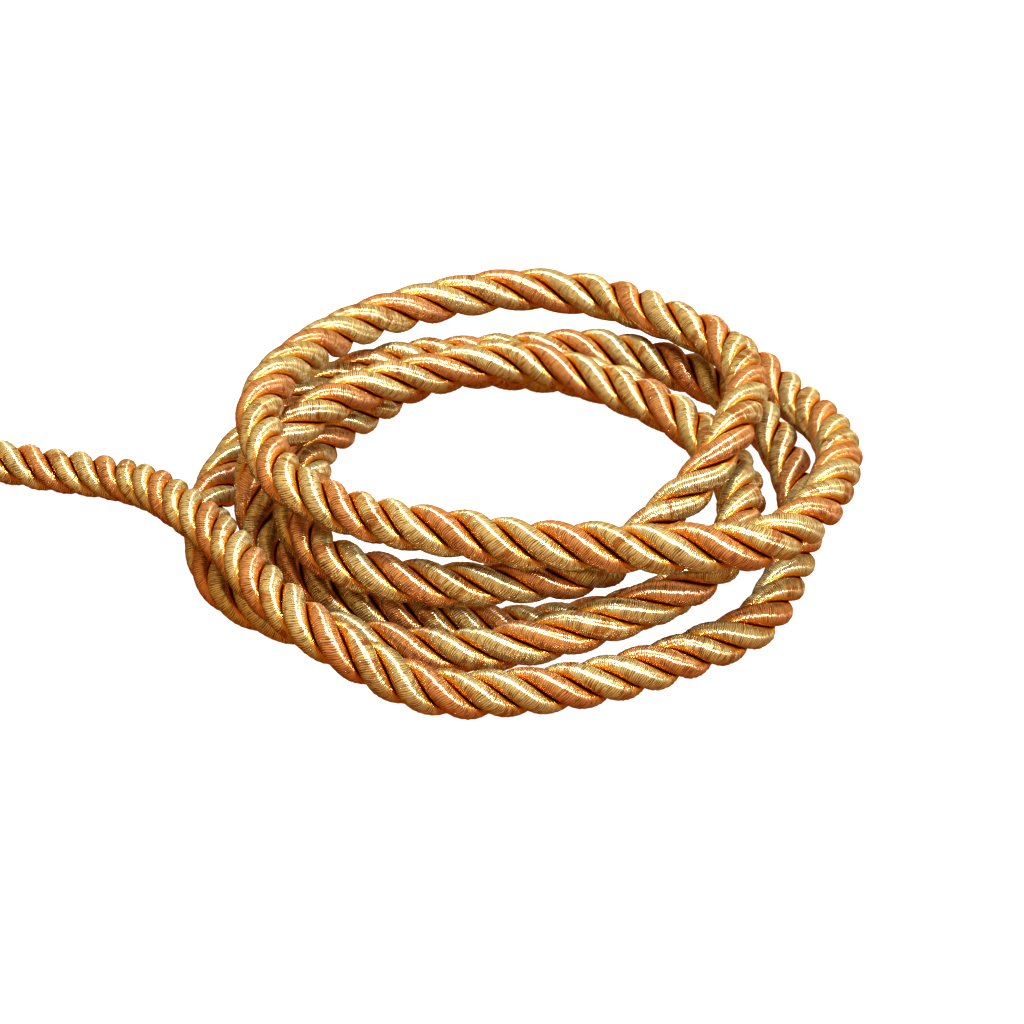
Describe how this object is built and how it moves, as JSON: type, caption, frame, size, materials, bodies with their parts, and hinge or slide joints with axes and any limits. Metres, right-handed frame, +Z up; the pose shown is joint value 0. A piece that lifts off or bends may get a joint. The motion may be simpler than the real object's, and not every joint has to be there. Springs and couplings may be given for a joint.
{
  "type": "twisted cord trim",
  "caption": "Length of three-ply twisted furnishing cord in gold and copper yarn, lying in a loose flat coil with one end running free.",
  "frame": {"origin": "on the floor, at the centre of the part's bounding box in plan", "axes": "+X to the right of the picture's view, away from the free end; +Y to the back; +Z up"},
  "size_m": [0.1568, 0.126, 0.0253],
  "materials": {
    "gimped_yarn": "shiny rayon wrapped round three plies, one copper, one pale gold and one gold with copper threads"
  },
  "bodies": {
    "root": {"twisted_cord": "gimped_yarn"}
  },
  "joints": []
}
